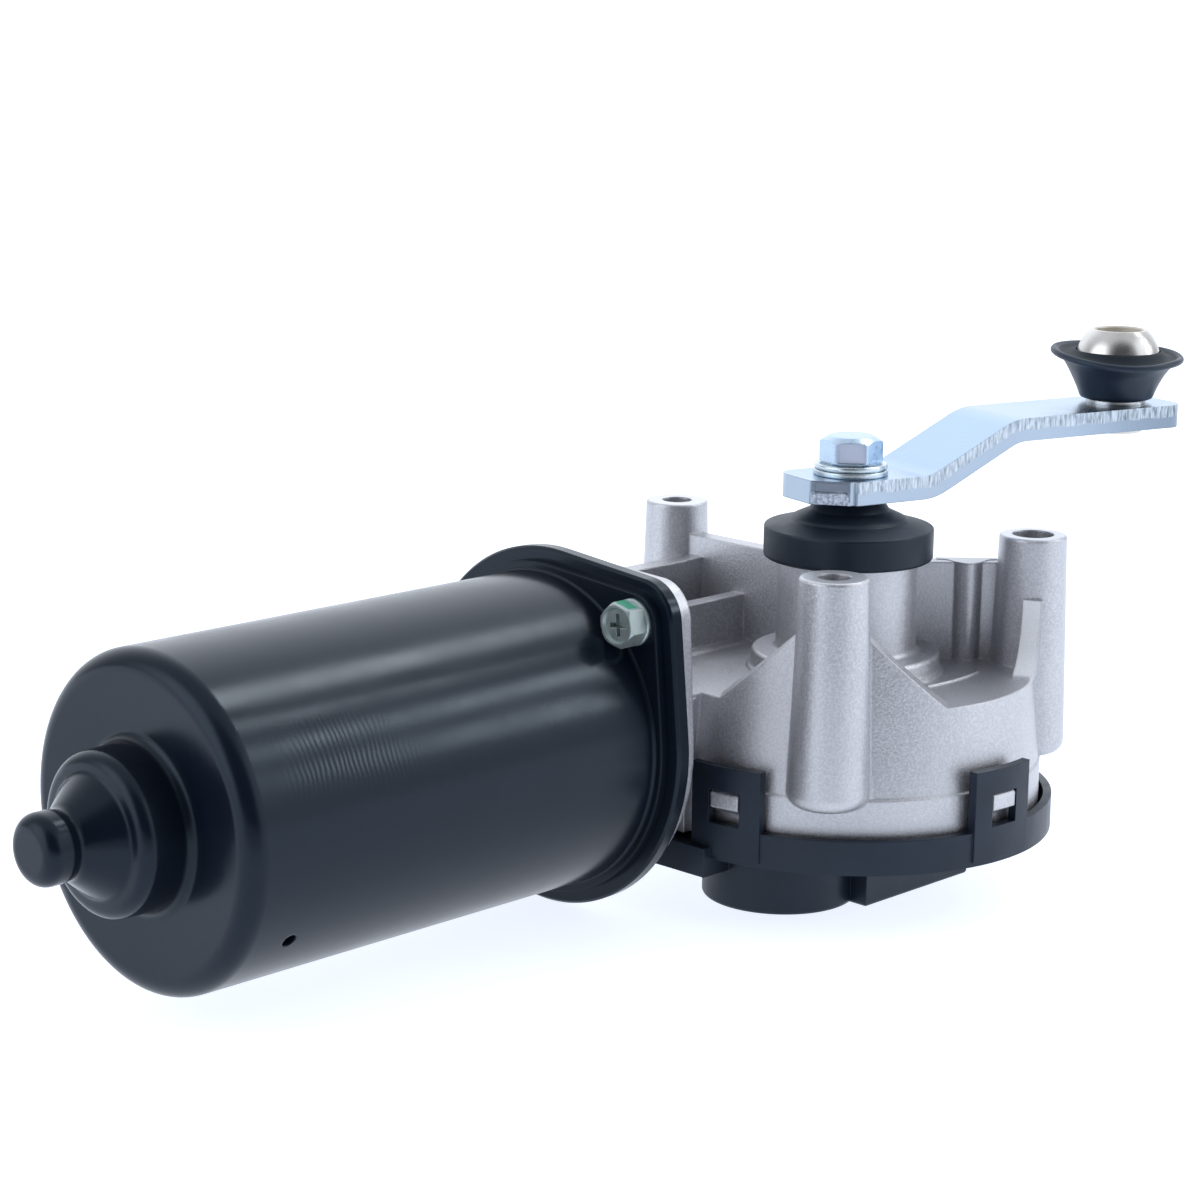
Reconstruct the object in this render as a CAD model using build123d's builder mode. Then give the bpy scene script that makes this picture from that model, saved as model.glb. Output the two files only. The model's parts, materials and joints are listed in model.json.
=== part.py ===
"""Windscreen wiper gearmotor: a four-pole permanent-magnet motor drives a worm
and wheel in a cast housing; the wheel's shaft carries a cranked arm with a ball
stud. Millimetres. +Z is up along the output shaft. The origin is on the output
shaft's axis, in the plane of the three mounting posts' top faces. The motor's
axis is parallel to X, with its closed nose towards -X."""
import math
import os

from build123d import *

os.makedirs("parts", exist_ok=True)

# ---- driving dimensions -------------------------------------------------
POST_TOP = 36.6          # post tops above the motor axis
AZ = -POST_TOP           # height of the motor axis in this frame
YC = 31.6                # worm centre distance

CAN_R = 33.0             # motor can, outside
CAN_T = 2.0              # can sheet thickness
X_F = -159.6             # front end of the can's straight barrel
X_FL = -58.6             # back face of the can's flange
PLATE_T = 3.0            # brush plate thickness
FLANGE_R = 37.8          # brush plate outline radius
EAR_Y, EAR_Z = -26.6, 26.9    # near ear's screw, from the motor axis
EAR_R = 8.6

MODULE = 1.0
TEETH = 52
WHEEL_R = MODULE * TEETH / 2
WORM_R = YC - WHEEL_R
LEAD = math.pi * MODULE
WHEEL_W = 8.0            # face width

SHAFT_R = 6.0            # output shaft
ROTOR_SHAFT_R = 4.0
ROTOR_R = 24.4

DECK = 8.7               # gear housing's top face above the motor axis
DRUM_R_TOP = 39.8
DRUM_R_LOW = 41.8
BAND_R = 42.2
STEP_H = -9.2            # mould parting step on the drum
HOUSING_BOTTOM = -20.5
POSTS = {                # x, y, top radius, bottom radius, bottom height, hole radius, hole depth
    "front": (-32.6, -23.5, 7.07, 8.60, -10.8, 3.35, 22.0),
    "right": (33.2, -23.8, 7.23, 8.50, -11.2, 4.50, 18.0),
    "left": (5.5, 54.7, 6.89, 8.00, -2.0, 3.35, 20.0),
}
FLANGE_T = 3.4           # the casting's motor flange
TOWER_R = 14.8

ARM_ANGLE = -15.0        # the arm's direction at rest, from +X
ARM_L = 71.6             # crank radius
ARM_T = 5.0
ARM_W = 19.6
ARM_H1 = 50.5            # top of the lower plateau above the motor axis
ARM_H2 = 61.0            # top of the upper plateau
BALL_R = 9.3
BALL_H = 70.2            # ball centre above the motor axis

RIM_R = 45.0             # plastic cover's rim
RIM_TOP, RIM_BOTTOM = -16.8, -24.0
CLIP_ANGLES = (-172.0, -93.0, -2.0, 78.0)


def up(h):
    """Horizontal plane at height h above the motor axis."""
    return Plane.XY.offset(AZ + h)


def across(x, dy=0.0, dz=0.0):
    """Plane square to the motor axis at x: local x is +Y, local y is +Z."""
    return Plane(origin=(x, YC + dy, AZ + dz), x_dir=(0, 1, 0), z_dir=(1, 0, 0))


def upright(x, y, angle=0.0):
    """Vertical plane through (x, y): local x is horizontal, local y is height above the motor axis."""
    a = math.radians(angle)
    return Plane(origin=(x, y, AZ), x_dir=(math.cos(a), math.sin(a), 0), z_dir=(math.sin(a), -math.cos(a), 0))


MOTOR_PLANE = Plane(origin=(0, YC, AZ), x_dir=(1, 0, 0), z_dir=(0, 0, 1))
MOTOR_AXIS = Axis((0, YC, AZ), (1, 0, 0))
SHAFT_PLANE = upright(0, 0)
SHAFT_AXIS = Axis((0, 0, AZ), (0, 0, 1))


def finish(name, builder):
    builder.part.label = name
    export_step(builder.part, f"parts/{name}.step")
    print(name, "volume", round(builder.part.volume, 1), "solids", len(builder.part.solids()))


# ---- motor can -----------------------------------------------------------
with BuildPart() as motor_can:
    with BuildSketch(MOTOR_PLANE):
        with BuildLine():
            FilletPolyline(
                (X_FL, 0), (X_FL, CAN_R + 0.4), (X_FL - 2.0, CAN_R + 0.4), (X_FL - 2.4, CAN_R), (X_F - 4.6, CAN_R),
                (X_F - 3.9, 16.0), (X_F - 14.2, 15.7), (X_F - 14.7, 11.8), (X_F - 21.0, 6.5),
                (X_F - 23.4, 6.9), (X_F - 28.4, 6.9), (X_F - 28.4, 0),
                radius=[0.2, 0.25, 0.25, 4.0, 1.9, 2.6, 1.2, 1.6, 1.0, 2.9],
            )
            Line((X_F - 28.4, 0), (X_FL, 0))
        make_face()
    revolve(axis=MOTOR_AXIS)
    # flange with two ears for the screws
    with BuildSketch(across(X_FL - 2.0)):
        with BuildLine():
            CenterArc((0, 0), 34.9, 0, 360)
            CenterArc((EAR_Y, EAR_Z), EAR_R - 2.8, 0, 360)
            CenterArc((-EAR_Y, -EAR_Z), EAR_R - 2.8, 0, 360)
        make_hull()
    extrude(amount=2.0)
    # hollow
    with BuildSketch(MOTOR_PLANE):
        with BuildLine():
            FilletPolyline(
                (X_FL + 1, 0), (X_FL + 1, CAN_R - CAN_T), (X_F - 2.6, CAN_R - CAN_T),
                (X_F - 1.9, 13.9), (X_F - 12.4, 13.7), (X_F - 12.9, 10.2), (X_F - 20.2, 4.6),
                (X_F - 26.4, 4.6), (X_F - 26.4, 0),
                radius=[0.2, 2.2, 1.2, 1.0, 1.0, 1.0, 1.4],
            )
            Line((X_F - 26.4, 0), (X_FL + 1, 0))
        make_face()
    revolve(axis=MOTOR_AXIS, mode=Mode.SUBTRACT)
    # screw holes in the ears, and the drain hole low on the near side
    with BuildSketch(across(X_FL - 3.0)):
        with Locations((EAR_Y, EAR_Z), (-EAR_Y, -EAR_Z)):
            Circle(2.8)
    extrude(amount=4.0, mode=Mode.SUBTRACT)
    # the ring round the barrel's foot is cut back at the screw heads
    with BuildSketch(across(X_FL - 2.0)):
        with Locations((EAR_Y, EAR_Z), (-EAR_Y, -EAR_Z)):
            Circle(4.9)
    extrude(amount=-1.0, mode=Mode.SUBTRACT)
    with BuildSketch(Plane(origin=(X_F + 8.6, YC, AZ), x_dir=(1, 0, 0), z_dir=(0, -math.cos(math.radians(33.9)), -math.sin(math.radians(33.9)))).offset(26.0)):
        Circle(1.5)
    extrude(amount=12.0, mode=Mode.SUBTRACT)
finish("motor_can", motor_can)

# ---- field magnets: four arc segments glued in the can ----------------------
with BuildPart() as field_magnets:
    with BuildSketch(across(-141.0)):
        Circle(30.95)
        Circle(25.3, mode=Mode.SUBTRACT)
        with PolarLocations(28.0, 4, start_angle=45):
            Rectangle(12.0, 8.0, mode=Mode.SUBTRACT)
    extrude(amount=52.0)
finish("field_magnets", field_magnets)

# ---- nose bearing: self-aligning bush, its retainer, oil felt, thrust button --
with BuildPart() as nose_bush:
    with BuildSketch(MOTOR_PLANE):
        with BuildLine():
            Line((X_F - 12.4, ROTOR_SHAFT_R + 0.03), (X_F - 4.4, ROTOR_SHAFT_R + 0.03))
            Line((X_F - 4.4, ROTOR_SHAFT_R + 0.03), (X_F - 4.4, 6.9))
            ThreePointArc((X_F - 4.4, 6.9), (X_F - 8.4, 8.4), (X_F - 12.4, 6.9))
            Line((X_F - 12.4, 6.9), (X_F - 12.4, ROTOR_SHAFT_R + 0.03))
        make_face()
    revolve(axis=MOTOR_AXIS)
finish("nose_bush", nose_bush)

with BuildPart() as nose_retainer:
    with BuildSketch(MOTOR_PLANE):
        with BuildLine():
            Polyline((X_F - 5.4, 8.0), (X_F - 3.4, 10.5), (X_F - 3.4, 13.4), (X_F - 8.6, 13.6),
                     (X_F - 8.6, 12.9), (X_F - 4.1, 12.7), (X_F - 4.1, 10.8), (X_F - 6.0, 8.4), close=True)
        make_face()
    revolve(axis=MOTOR_AXIS)
finish("nose_retainer", nose_retainer)

with BuildPart() as oil_felt:
    with BuildSketch(MOTOR_PLANE):
        with BuildLine():
            Polyline((X_F - 11.9, 9.0), (X_F - 9.0, 9.0), (X_F - 9.0, 13.4), (X_F - 11.4, 13.4), close=True)
        make_face()
    revolve(axis=MOTOR_AXIS)
finish("oil_felt", oil_felt)

with BuildPart() as thrust_button:
    with BuildSketch(across(X_F - 26.4)):
        Circle(3.6)
    extrude(amount=4.9)
    chamfer(thrust_button.edges().filter_by(GeomType.CIRCLE), 0.5)
finish("thrust_button", thrust_button)

# ---- brush plate between the can and the gear housing -------------------------
with BuildPart() as brush_plate:
    with BuildSketch(across(X_FL)):
        with BuildLine():
            CenterArc((0, 0), FLANGE_R, 0, 360)
            CenterArc((EAR_Y, EAR_Z), EAR_R, 0, 360)
            CenterArc((-EAR_Y, -EAR_Z), EAR_R, 0, 360)
        make_hull()
        Circle(9.0, mode=Mode.SUBTRACT)
        with Locations((EAR_Y, EAR_Z), (-EAR_Y, -EAR_Z)):
            Circle(2.8, mode=Mode.SUBTRACT)
    extrude(amount=PLATE_T)
    chamfer(brush_plate.faces().sort_by(Axis.X)[0].outer_wire().edges(), 0.5)
finish("brush_plate", brush_plate)

# ---- commutator brushes, holders and springs -----------------------------------
BRUSH_X = -72.0
BRUSH_DIRS = {"brush_common": (0, 0, 1), "brush_low": (0, -1, 0), "brush_high": (0, 0, -1)}
BRUSH_IN, BRUSH_OUT, HOLDER_OUT = 11.06, 21.0, 28.6


def radial(direction, r):
    """Plane square to a radial direction from the motor axis, r out: local x is +X."""
    d = Vector(*direction)
    return Plane(origin=(BRUSH_X, YC + d.Y * r, AZ + d.Z * r), x_dir=(1, 0, 0), z_dir=direction)


with BuildPart() as brush_holders:
    for direction in BRUSH_DIRS.values():
        with BuildSketch(radial(direction, 13.6)):
            Rectangle(10.8, 8.2)
        extrude(amount=HOLDER_OUT - 13.6)
        with BuildSketch(radial(direction, 19.0)):
            with Locations(((10.8 / 2 + (X_FL - BRUSH_X)) / 2, 0)):
                Rectangle((X_FL - BRUSH_X) - 10.8 / 2, 8.2)
        extrude(amount=4.0)
    for direction in BRUSH_DIRS.values():
        with BuildSketch(radial(direction, 13.0)):
            Rectangle(8.2, 5.2)
        extrude(amount=HOLDER_OUT - 1.0 - 13.0, mode=Mode.SUBTRACT)
finish("brush_holders", brush_holders)

with BuildPart() as brush_common:
    with BuildSketch(radial(BRUSH_DIRS["brush_common"], 9.0)):
        Rectangle(8.0, 5.0)
    extrude(amount=BRUSH_OUT - 9.0)
    with BuildSketch(across(-80.0)):
        Circle(BRUSH_IN)
    extrude(amount=16.0, mode=Mode.SUBTRACT)
finish("brush_common", brush_common)

with BuildPart() as brush_low:
    with BuildSketch(radial(BRUSH_DIRS["brush_low"], 9.0)):
        Rectangle(8.0, 5.0)
    extrude(amount=BRUSH_OUT - 9.0)
    with BuildSketch(across(-80.0)):
        Circle(BRUSH_IN)
    extrude(amount=16.0, mode=Mode.SUBTRACT)
finish("brush_low", brush_low)

with BuildPart() as brush_high:
    with BuildSketch(radial(BRUSH_DIRS["brush_high"], 9.0)):
        Rectangle(8.0, 5.0)
    extrude(amount=BRUSH_OUT - 9.0)
    with BuildSketch(across(-80.0)):
        Circle(BRUSH_IN)
    extrude(amount=16.0, mode=Mode.SUBTRACT)
finish("brush_high", brush_high)

SPRING_R, WIRE_R, SPRING_TURNS = 1.9, 0.22, 6
SPRING_LEN = HOLDER_OUT - 1.0 - BRUSH_OUT - 2 * WIRE_R - 0.1

with BuildPart() as spring_common:
    with BuildLine() as coil:
        Helix(SPRING_LEN / SPRING_TURNS, SPRING_LEN, SPRING_R, center=radial(BRUSH_DIRS["brush_common"], BRUSH_OUT + WIRE_R + 0.05).origin,
              direction=BRUSH_DIRS["brush_common"])
    with BuildSketch(Plane(origin=coil.line @ 0, z_dir=coil.line % 0)):
        Circle(WIRE_R)
    sweep(path=coil.line, is_frenet=True)
finish("spring_common", spring_common)

with BuildPart() as spring_low:
    with BuildLine() as coil:
        Helix(SPRING_LEN / SPRING_TURNS, SPRING_LEN, SPRING_R, center=radial(BRUSH_DIRS["brush_low"], BRUSH_OUT + WIRE_R + 0.05).origin,
              direction=BRUSH_DIRS["brush_low"])
    with BuildSketch(Plane(origin=coil.line @ 0, z_dir=coil.line % 0)):
        Circle(WIRE_R)
    sweep(path=coil.line, is_frenet=True)
finish("spring_low", spring_low)

with BuildPart() as spring_high:
    with BuildLine() as coil:
        Helix(SPRING_LEN / SPRING_TURNS, SPRING_LEN, SPRING_R, center=radial(BRUSH_DIRS["brush_high"], BRUSH_OUT + WIRE_R + 0.05).origin,
              direction=BRUSH_DIRS["brush_high"])
    with BuildSketch(Plane(origin=coil.line @ 0, z_dir=coil.line % 0)):
        Circle(WIRE_R)
    sweep(path=coil.line, is_frenet=True)
finish("spring_high", spring_high)

# ---- interference chokes and thermal cut-out on the brush plate -------------------
with BuildPart() as noise_chokes:
    for deg in (45, 135):
        cy, cz = 22.0 * math.cos(math.radians(deg)), 22.0 * math.sin(math.radians(deg))
        with BuildSketch(across(-76.0)):
            with Locations((cy, cz)):
                Circle(2.4)
        extrude(amount=-76.0 * -1 + X_FL)
        with BuildSketch(across(-74.0)):
            with Locations((cy, cz)):
                Circle(3.4)
        extrude(amount=11.0)
finish("noise_chokes", noise_chokes)

with BuildPart() as thermal_cutout:
    with BuildSketch(across(-70.0)):
        with Locations((21.5, -1.0)):
            Rectangle(4.0, 11.0)
    extrude(amount=-X_FL * -1 + 70.0)
    fillet(thermal_cutout.edges().filter_by(Axis.X), 0.6)
finish("thermal_cutout", thermal_cutout)

# ---- can screws: hexagon head turned down to a round dished top, with a cross recess and a washer face -----
def can_screw(sy, sz):
    origin = (X_FL - 2.0, YC + sy, AZ + sz)
    seat = Plane(origin=origin, x_dir=(0, 1, 0), z_dir=(-1, 0, 0))
    side = Plane(origin=origin, x_dir=(0, 1, 0), z_dir=(0, 0, 1))
    axis = Axis(origin, (1, 0, 0))
    hexagon = extrude(seat.offset(0.8) * RegularPolygon(4.75, 6, rotation=45), 4.4)
    turned = revolve(side * make_face(Polyline((0, 0.7), (5.2, 0.7), (5.2, 4.2), (4.2, 5.1), (3.65, 5.1), (3.35, 4.5), (0, 4.4), close=True)), axis=axis)
    washer = revolve(side * make_face(Polyline((0, 0), (4.8, 0), (4.8, 0.55), (4.55, 0.85), (0, 0.85), close=True)), axis=axis)
    cross = extrude(seat.offset(2.6) * (Rectangle(4.6, 1.0, rotation=5) + Rectangle(4.6, 1.0, rotation=95)), 3.0)
    shank = extrude(seat * Circle(2.45), -10.4)
    return (hexagon & turned) + washer + shank - cross


near_screw, far_screw = can_screw(EAR_Y, EAR_Z), can_screw(-EAR_Y, -EAR_Z)

with BuildPart() as can_screws:
    add(near_screw)
    add(far_screw)
finish("can_screws", can_screws)

# ---- gear housing: one aluminium casting -----------------------------------------------
HF = X_FL + PLATE_T      # motor flange face of the casting


def radial_plane(angle):
    """Vertical plane square to the radius at an angle: local x is along the rim, local y is up."""
    a = math.radians(angle)
    return Plane(origin=(0, 0, AZ), x_dir=(-math.sin(a), math.cos(a), 0), z_dir=(math.cos(a), math.sin(a), 0))


def drum_r(h):
    """The drum's outside radius at a height above the motor axis, its taper carried on upwards."""
    return DRUM_R_TOP + (DRUM_R_LOW - DRUM_R_TOP) * (DECK - h) / (DECK - STEP_H - 0.4)


# web on the drum's rim behind the front post, in line with the drum's tapered wall
shell = revolve(SHAFT_PLANE * make_face(Polyline((drum_r(7.7), 7.7), (drum_r(30.0), 30.0), (drum_r(30.0) - 3.7, 30.0), (drum_r(7.7) - 3.7, 7.7), close=True)), axis=SHAFT_AXIS)
wedge = extrude(radial_plane(math.degrees(math.atan2(-23.5, -32.6))) *
                make_face(Polyline((-23.3, 7.7), (-23.2, 8.7), (-6.0, 24.9), (6.0, 24.4), (23.0, 8.7), (23.1, 7.7), close=True)), 60)
web_front = shell & wedge
# straight web leaving the rim at a tangent and rising in a curve to the right post
WEB_DIR, WEB_START = 25.75, (17.23, -35.71)
wd = math.radians(WEB_DIR)
web_plane = Plane(origin=(*WEB_START, AZ), x_dir=(math.cos(wd), math.sin(wd), 0), z_dir=(math.sin(wd), -math.cos(wd), 0))
web_curve = Spline((0.9, 8.5), (4.5, 10.3), (7.9, 12.9), (10.5, 17.9), (11.4, 23.8))
web_right = extrude(web_plane * make_face(Curve() + [web_curve, Polyline((11.4, 23.8), (16.0, 23.8), (16.0, 7.7), (0.9, 7.7), (0.9, 8.5))]), -3.9)

with BuildPart() as gear_housing:
    # wheel chamber: tapered drum over a slightly proud lower band
    with BuildSketch(SHAFT_PLANE):
        with BuildLine():
            Polyline((0, HOUSING_BOTTOM), (BAND_R, HOUSING_BOTTOM), (BAND_R, STEP_H),
                     (DRUM_R_LOW, STEP_H + 0.4), (DRUM_R_TOP, DECK), (0, DECK), close=True)
        make_face()
    revolve(axis=SHAFT_AXIS)
    # motor flange with two ears, and the bell running into the worm tunnel
    with BuildSketch(across(HF)):
        with BuildLine():
            CenterArc((0, 0), 36.0, 0, 360)
            CenterArc((EAR_Y, EAR_Z), 7.9, 0, 360)
            CenterArc((-EAR_Y, -EAR_Z), 7.9, 0, 360)
        make_hull()
    extrude(amount=FLANGE_T)
    with BuildSketch(MOTOR_PLANE):
        with BuildLine():
            FilletPolyline((HF, 0), (HF, 33.0), (HF + FLANGE_T + 0.2, 32.4), (-49.0, 20.5), (-41.0, 16.5), (-36.0, 9.6), (27.5, 9.0), (27.5, 0),
                           radius=[0.5, 0.5, 2.0, 2.0, 3.0, 1.5])
            Line((27.5, 0), (HF, 0))
        make_face()
    revolve(axis=MOTOR_AXIS)
    # deck over the worm tunnel, out to the left post, with a hanging skirt
    with BuildSketch(up(DECK - 5.0)):
        with BuildLine():
            Polyline((HF + 3, 7), (HF + 3, 61.5), (13.5, 61.5), (27.0, 42.0), (30.0, 20.0), (0, 0), close=True)
        make_face()
    extrude(amount=5.0)
    with BuildSketch(up(-7.0)):
        with BuildLine():
            Polyline((HF + 3, 45), (HF + 3, 61.5), (13.5, 61.5), (27.0, 42.0), (30.0, 20.0), (22.0, 20.0), (22.0, 41.0),
                     (11.5, 57.5), (HF + 8, 57.5), (HF + 8, 45), close=True)
        make_face()
    extrude(amount=DECK - 4.0 + 7.0)
    # lead passage between the motor and the cover
    with BuildSketch(up(HOUSING_BOTTOM)):
        with Locations((-36.0, 18.2)):
            Rectangle(16.2, 25.6)
    extrude(amount=DECK - 1.0 - HOUSING_BOTTOM)
    # output tower on a low round pad
    with BuildSketch(SHAFT_PLANE):
        with BuildLine():
            FilletPolyline((0, DECK - 1), (21.2, DECK - 1), (21.1, DECK + 0.3), (20.2, DECK + 0.9), (20.0, 12.8), (TOWER_R + 0.15, 12.9), (TOWER_R, 36.5), (0, 36.5),
                           radius=[0.4, 0.5, 0.4, 0.8, 1.2, 0.4])
            Line((0, 36.5), (0, DECK - 1))
        make_face()
    revolve(axis=SHAFT_AXIS)
    # posts
    for px, py, r_top, r_bot, low, r_hole, deep in POSTS.values():
        with BuildSketch(upright(px, py)):
            with BuildLine():
                FilletPolyline((0, low), (r_bot, low), (r_top, POST_TOP), (0, POST_TOP), radius=[3.0, 0.6])
                Line((0, POST_TOP), (0, low))
            make_face()
        revolve(axis=Axis((px, py, AZ), (0, 0, 1)))
    # wall from the left post to the tower, and its two ribs
    with BuildSketch(up(DECK - 1)):
        with BuildLine():
            Polyline((2.2, 10.0), (6.4, 10.0), (7.4, 52.0), (2.4, 52.0), close=True)
        make_face()
    extrude(amount=29.9 - DECK + 1, taper=0.8)
    with BuildSketch(up(DECK - 1)):
        with Locations(((HF + 6 + 4) / 2, 46.0)):
            Rectangle(4 - HF - 6, 4.8)
    extrude(amount=25.4 - DECK + 1, taper=0.8)
    with BuildSketch(up(DECK - 1)):
        with Locations(((HF + 6 + 4) / 2, 33.2)):
            Rectangle(4 - HF - 6, 4.0)
    extrude(amount=19.0 - DECK + 1, taper=0.8)
    # wall from the tower to the right post, with a half-round column
    with BuildSketch(up(DECK - 1)):
        with BuildLine():
            Polyline((12.6, -1.5), (23.5, -12.3), (30.5, -19.6), (33.8, -17.0), (26.0, -9.0), (13.5, 4.0), close=True)
        make_face()
    extrude(amount=30.0 - DECK + 1, taper=0.5)
    with BuildSketch(Plane(origin=(25.6, -12.4, AZ + DECK - 1), x_dir=(0.70, -0.714, 0))):
        with BuildLine():
            Spline((-6.6, 1.3), (-4.3, 0.6), (-3.1, -1.2), (0.0, -3.5), (3.1, -1.2), (4.3, 0.6), (6.6, 1.3))
            Polyline((6.6, 1.3), (6.6, 3.0), (-6.6, 3.0), (-6.6, 1.3))
        make_face()
    extrude(amount=30.15 - DECK + 1)
    # webs on the drum's rim, rising to the posts
    add(web_front)
    add(web_right)
    # mould seam down the front post's side, and a low ridge on the deck
    with BuildSketch(upright(-32.6, -23.5, -58.0)):
        with BuildLine():
            Polyline((4.0, -9.6), (9.0, -9.6), (7.95, 23.5), (4.0, 23.5), close=True)
        make_face()
    extrude(amount=0.3, both=True)
    with BuildSketch(up(DECK - 0.5)):
        with BuildLine():
            ThreePointArc((-1.8, -23.5), (7.3, -23.9), (16.4, -22.9))
            Line((16.4, -22.9), (16.5, -23.4))
            ThreePointArc((16.5, -23.4), (7.3, -24.5), (-1.8, -24.0))
            Line((-1.8, -24.0), (-1.8, -23.5))
        make_face()
    extrude(amount=0.5 + 0.4)
    # lugs for the cover's clips
    for angle in CLIP_ANGLES:
        a = math.radians(angle)
        with BuildSketch(Plane(origin=(3.3 * math.sin(a), -3.3 * math.cos(a), AZ), x_dir=(math.cos(a), math.sin(a), 0),
                               z_dir=(math.sin(a), -math.cos(a), 0))):
            with BuildLine():
                Polyline((40.5, -9.3), (44.8, -9.3), (45.3, -9.8), (45.3, -12.7), (42.6, -14.2), (40.5, -14.2), close=True)
            make_face()
        extrude(amount=-6.6)
    # hollows: wheel chamber, brush bell, bearing seat, worm bore, tower bore, lead passage
    with BuildSketch(up(HOUSING_BOTTOM - 1)):
        Circle(36.5)
    extrude(amount=DECK - 4.0 - HOUSING_BOTTOM + 1, mode=Mode.SUBTRACT)
    with BuildSketch(MOTOR_PLANE):
        with BuildLine():
            Polyline((HF - 1, 0), (HF - 1, 28.5), (-52.2, 28.0), (-51.2, 14.0), (-48.0, 13.0), (-48.0, 11.0), (-41.0, 11.0),
                     (-41.0, 7.1), (25.0, 7.1), (25.0, 4.0), (36.0, 4.0), (36.0, 0), close=True)
        make_face()
    revolve(axis=MOTOR_AXIS, mode=Mode.SUBTRACT)
    with BuildSketch(up(DECK - 5.0)):
        Circle(8.5)
    extrude(amount=40.0, mode=Mode.SUBTRACT)
    with BuildSketch(up(HOUSING_BOTTOM - 1)):
        with Locations((-38.5, 17.0)):
            Rectangle(7.0, 18.0)
    extrude(amount=21.5, mode=Mode.SUBTRACT)
    # post holes and the can screws' holes
    for px, py, r_top, r_bot, low, r_hole, deep in POSTS.values():
        with BuildSketch(Plane(origin=(px, py, 0), x_dir=(1, 0, 0), z_dir=(0, 0, -1))):
            Circle(r_hole)
        extrude(amount=deep, mode=Mode.SUBTRACT)
    with BuildSketch(across(HF - 0.5)):
        with Locations((EAR_Y, EAR_Z), (-EAR_Y, -EAR_Z)):
            Circle(2.5)
    extrude(amount=FLANGE_T + 1.0, mode=Mode.SUBTRACT)
finish("gear_housing", gear_housing)

# ---- bearings fixed in the housing --------------------------------------------------------
with BuildPart() as bearing_outer:
    with BuildSketch(across(-48.0)):
        Circle(11.0)
        Circle(9.15, mode=Mode.SUBTRACT)
    extrude(amount=7.0)
finish("bearing_outer", bearing_outer)

with BuildPart() as bearing_balls:
    with Locations(across(-44.5)):
        with PolarLocations(7.5, 9):
            Sphere(1.6)
finish("bearing_balls", bearing_balls)

with BuildPart() as worm_bush:
    with BuildSketch(across(17.0)):
        Circle(7.08)
        Circle(ROTOR_SHAFT_R + 0.03, mode=Mode.SUBTRACT)
    extrude(amount=8.0)
finish("worm_bush", worm_bush)

with BuildPart() as thrust_screw:
    with BuildSketch(across(25.3)):
        Circle(3.96)
    extrude(amount=8.2)
    with BuildSketch(across(33.5)):
        Rectangle(8.5, 1.2)
    extrude(amount=-1.5, mode=Mode.SUBTRACT)
    chamfer(thrust_screw.faces().sort_by(Axis.X)[0].edges(), 0.8)
finish("thrust_screw", thrust_screw)

with BuildPart() as bush_lower:
    with BuildSketch(up(8.0)):
        Circle(8.48)
        Circle(SHAFT_R + 0.03, mode=Mode.SUBTRACT)
    extrude(amount=10.0)
finish("bush_lower", bush_lower)

with BuildPart() as bush_upper:
    with BuildSketch(up(23.0)):
        Circle(8.48)
        Circle(SHAFT_R + 0.03, mode=Mode.SUBTRACT)
    extrude(amount=10.0)
finish("bush_upper", bush_upper)

with BuildPart() as shaft_seal:
    with BuildSketch(SHAFT_PLANE):
        with Locations((7.25, 34.9)):
            Circle(1.2)
    revolve(axis=SHAFT_AXIS)
finish("shaft_seal", shaft_seal)

# ---- cap over the tower ---------------------------------------------------------------------
with BuildPart() as tower_cap:
    with BuildSketch(SHAFT_PLANE):
        with BuildLine():
            FilletPolyline((14.85, 32.6), (18.0, 32.6), (18.0, 39.4), (12.6, 40.9), (11.9, 41.5), (8.6, 43.0), (7.3, 44.9), (6.4, 44.9),
                           (6.4, 42.6), (9.3, 39.9), (14.0, 38.0), (14.85, 37.0), (14.85, 32.6),
                           radius=[0.6, 0.9, 0.5, 0.5, 2.0, 0.3, 0.2, 0.5, 1.0, 1.0, 0.3, 0.3], close=False)
        make_face()
    revolve(axis=SHAFT_AXIS)
finish("tower_cap", tower_cap)

# ---- plastic cover with clips and connector -----------------------------------------------------
def rim_clip(angle):
    """Curved tab with a window, following the rim."""
    shell = extrude(up(RIM_BOTTOM + 1.0) * (Circle(45.5) - Circle(43.6)), -4.0 - RIM_BOTTOM - 1.0)
    outline = Pos(0, (RIM_BOTTOM + 1.0 - 4.0) / 2) * Rectangle(16.6, -4.0 - RIM_BOTTOM - 0.9) - Pos(0, -12.6) * Rectangle(7.4, 7.0)
    return shell & extrude(radial_plane(angle) * outline, 60)


rim_clips = [rim_clip(angle) for angle in CLIP_ANGLES]

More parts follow.
